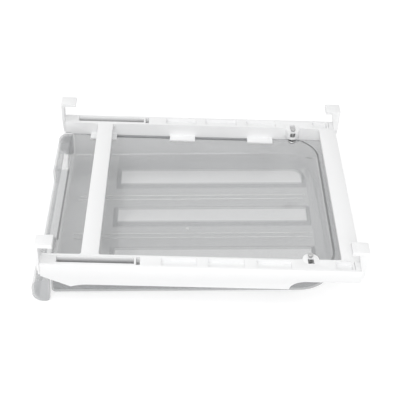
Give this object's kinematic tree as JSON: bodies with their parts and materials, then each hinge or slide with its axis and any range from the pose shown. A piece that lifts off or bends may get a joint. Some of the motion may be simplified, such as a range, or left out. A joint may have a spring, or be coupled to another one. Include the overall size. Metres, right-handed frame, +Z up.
{
  "type": "under-shelf fridge drawer organizer",
  "caption": "Clear pull-out drawer carried in a white open frame that hangs under a fridge shelf by hooks; the front hooks slide out to suit deeper shelves.",
  "frame": {"origin": "middle of the plane under the four hook tabs, which is the top surface of the shelf", "axes": "+X from the drawer's front to the rear, +Y to the left of somebody facing the front, +Z up"},
  "size_m": [0.3393, 0.264, 0.0813],
  "materials": {
    "white_plastic": "gloss",
    "clear_plastic": "gloss",
    "steel": "satin"
  },
  "bodies": {
    "frame": {"rail_left": "white_plastic", "rail_right": "white_plastic", "front_crossbar": "white_plastic", "rear_cross_plate": "white_plastic", "rear_hook_left": "white_plastic", "rear_hook_right": "white_plastic", "catch_boss_left": "white_plastic", "catch_boss_right": "white_plastic"},
    "drawer": {"drawer_tray": "clear_plastic", "drawer_front": "clear_plastic"},
    "hook_left": {"front_hook_left": "white_plastic"},
    "hook_right": {"front_hook_right": "white_plastic"},
    "pin_left": {"catch_pin_left": "steel", "catch_spring_left": "steel"},
    "pin_right": {"catch_pin_right": "steel", "catch_spring_right": "steel"}
  },
  "joints": [
    {"name": "drawer_slide", "type": "slide", "parent": "frame", "child": "drawer", "axis": [-1, 0, 0], "range_m": [0, 0.1995]},
    {"name": "hook_left_slide", "type": "slide", "parent": "frame", "child": "hook_left", "axis": [-1, 0, 0], "range_m": [0, 0.05]},
    {"name": "hook_right_slide", "type": "slide", "parent": "frame", "child": "hook_right", "axis": [-1, 0, 0], "range_m": [0, 0.05]},
    {"name": "pin_left_lift", "type": "slide", "parent": "frame", "child": "pin_left", "axis": [0, 0, 1], "range_m": [0, 0.0023], "stiffness_N_per_m": 400, "springref_m": -0.002, "deforming": ["catch_spring_left"]},
    {"name": "pin_right_lift", "type": "slide", "parent": "frame", "child": "pin_right", "axis": [0, 0, 1], "range_m": [0, 0.0023], "stiffness_N_per_m": 400, "springref_m": -0.002, "deforming": ["catch_spring_right"]}
  ]
}
